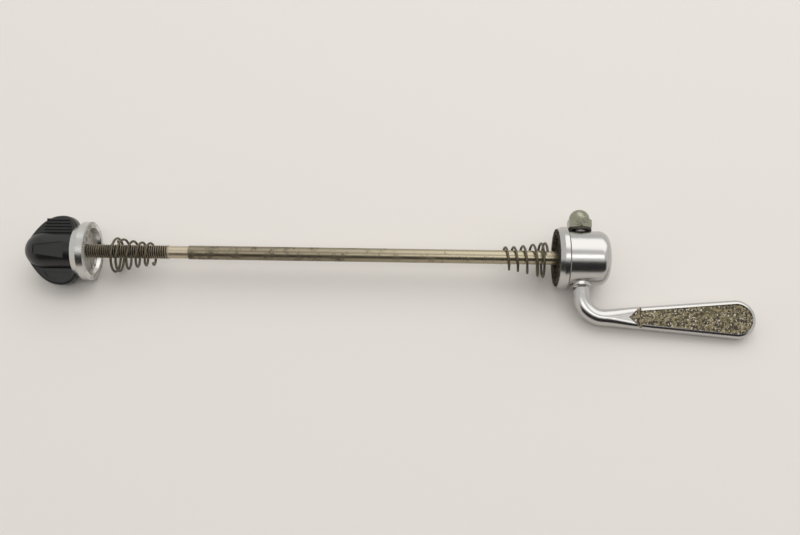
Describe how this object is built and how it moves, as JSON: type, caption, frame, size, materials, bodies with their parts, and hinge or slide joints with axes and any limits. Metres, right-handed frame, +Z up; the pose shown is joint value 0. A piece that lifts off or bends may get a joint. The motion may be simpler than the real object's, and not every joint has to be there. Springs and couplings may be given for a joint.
{
  "type": "quick-release skewer with cam lever",
  "caption": "Quick-release axle skewer: a bent chrome lever turns an internal cam that draws a threaded rod, with a winged adjusting nut and two conical springs.",
  "frame": {"origin": "on the floor plane under the middle of the bounding box, as the part lies", "axes": "+X along the skewer from the adjusting nut to the lever, +Z up from the floor it lies on, so -Y is the lever's side and +Y the acorn nut's side"},
  "size_m": [0.2614, 0.044, 0.0225],
  "materials": {
    "chrome_plate": "bright chrome plate",
    "clamp_ring_steel": "plated steel, dark and rusty on the teeth",
    "spring_wire": "dull dark spring wire",
    "acorn_plate": "tarnished nickel plate",
    "washer_steel": "dark steel",
    "rod_steel": "tarnished zinc-plated steel, dark in the thread",
    "cam_steel": "plain machined steel",
    "nut_plate": "satin worn chrome plate",
    "cap_plastic": "black, lightly textured",
    "insert_nylon": "white nylon"
  },
  "bodies": {
    "housing": {"cam_housing": "chrome_plate", "housing_clamp_ring": "clamp_ring_steel", "housing_spring": "spring_wire"},
    "lever": {"cam_lever": "chrome_plate", "acorn_nut": "acorn_plate", "lock_washer": "washer_steel"},
    "skewer": {"skewer_rod": "rod_steel", "cam_follower": "cam_steel"},
    "spring_carrier": {"nut_spring": "spring_wire"},
    "adjusting_nut": {"nut_core": "nut_plate", "wing_cap": "cap_plastic", "locking_insert": "insert_nylon"}
  },
  "joints": [
    {"name": "lever_pivot", "type": "hinge", "parent": "housing", "child": "lever", "pos_m": [0.06963, 0.00494, 0.01128], "axis": [-0.0014, 0.94, 0.3412], "range_deg": [-90, 90]},
    {"name": "cam_draw", "type": "slide", "parent": "housing", "child": "skewer", "axis": [1, 0, 0.0041], "range_m": [-0.0012, 0.0012]},
    {"name": "nut_travel", "type": "slide", "parent": "skewer", "child": "spring_carrier", "axis": [1, 0, 0.0041], "range_m": [-0.0056, 0.0096]},
    {"name": "nut_spin", "type": "hinge", "parent": "spring_carrier", "child": "adjusting_nut", "pos_m": [-0.10627, 0.00494, 0.01056], "axis": [1, 0, 0.0041], "range_deg": [-2520, 4320]}
  ],
  "couplings": [
    {"joint": "cam_draw", "follows": "lever_pivot", "m_per_rad": 0.00076394},
    {"joint": "nut_travel", "follows": "nut_spin", "m_per_rad": 0.00012732}
  ]
}
